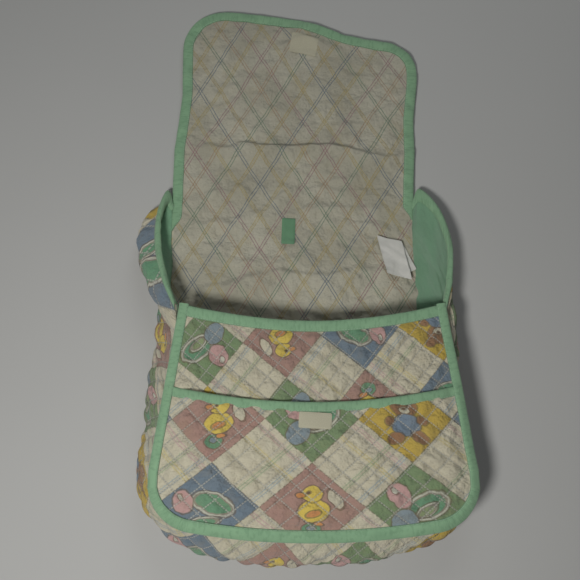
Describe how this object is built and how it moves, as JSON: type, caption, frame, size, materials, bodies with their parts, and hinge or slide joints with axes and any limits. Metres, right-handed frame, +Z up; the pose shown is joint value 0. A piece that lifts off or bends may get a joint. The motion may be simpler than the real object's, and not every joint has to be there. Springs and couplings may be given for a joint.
{
  "type": "quilted changing bag",
  "caption": "Empty quilted cotton bag on its back: back, bowed wall strip, front with a pocket, and a flap in two folding panels, edged with folded tape, closed by hook and loop patches.",
  "frame": {"origin": "centre of the whole laid-open bag's box, on the surface that it lies on", "axes": "+X to the right of the front, +Y from the bag's bottom towards the flap's free end, +Z up from the surface"},
  "size_m": [0.3257, 0.5876, 0.0606],
  "materials": {
    "patchwork_print": "matte quilted cotton print",
    "plaid_lining": "matte plaid cotton",
    "green_cotton": "matte plain cotton",
    "binding_tape": "matte plain cotton",
    "wadding": "matte fibre",
    "closure_tape": "matte hook and loop",
    "label_ribbon": "satin ribbon"
  },
  "bodies": {
    "root": {"back_outer": "patchwork_print", "back_wadding": "wadding", "back_lining": "plaid_lining", "back_binding": "binding_tape", "lining_tab": "green_cotton", "wall_outer": "patchwork_print", "wall_wadding": "wadding", "wall_lining": "green_cotton", "mouth_binding_right": "binding_tape", "mouth_binding_left": "binding_tape"},
    "front": {"front_outer": "patchwork_print", "front_wadding": "wadding", "front_lining": "plaid_lining", "front_binding": "binding_tape", "front_top_binding": "binding_tape", "pocket_outer": "patchwork_print", "pocket_wadding": "wadding", "pocket_lining": "plaid_lining", "pocket_top_binding": "binding_tape", "hook_patch": "closure_tape"},
    "crown": {"crown_outer": "patchwork_print", "crown_wadding": "wadding", "crown_lining": "plaid_lining", "crown_binding_right": "binding_tape", "crown_binding_left": "binding_tape"},
    "flap": {"flap_outer": "patchwork_print", "flap_wadding": "wadding", "flap_lining": "plaid_lining", "flap_binding": "binding_tape", "loop_patch": "closure_tape"},
    "labels": {"care_label": "label_ribbon", "size_label": "label_ribbon"}
  },
  "joints": [
    {"name": "front_slide", "type": "slide", "parent": "root", "child": "front", "axis": [0, 1, 0], "range_m": [0, 0.094]},
    {"name": "crown_fold", "type": "hinge", "parent": "root", "child": "crown", "pos_m": [-0.0123, 0.0731, 0.0046], "axis": [1, 0, 0], "range_deg": [0, 110]},
    {"name": "flap_fold", "type": "hinge", "parent": "crown", "child": "flap", "pos_m": [-0.0123, 0.1351, 0.0046], "axis": [1, 0, 0], "range_deg": [0, 70]},
    {"name": "label_fold", "type": "hinge", "parent": "root", "child": "labels", "pos_m": [0.1017, 0.0311, 0.0045], "axis": [-0.2079, 0.9781, 0], "range_deg": [0, 90]}
  ]
}
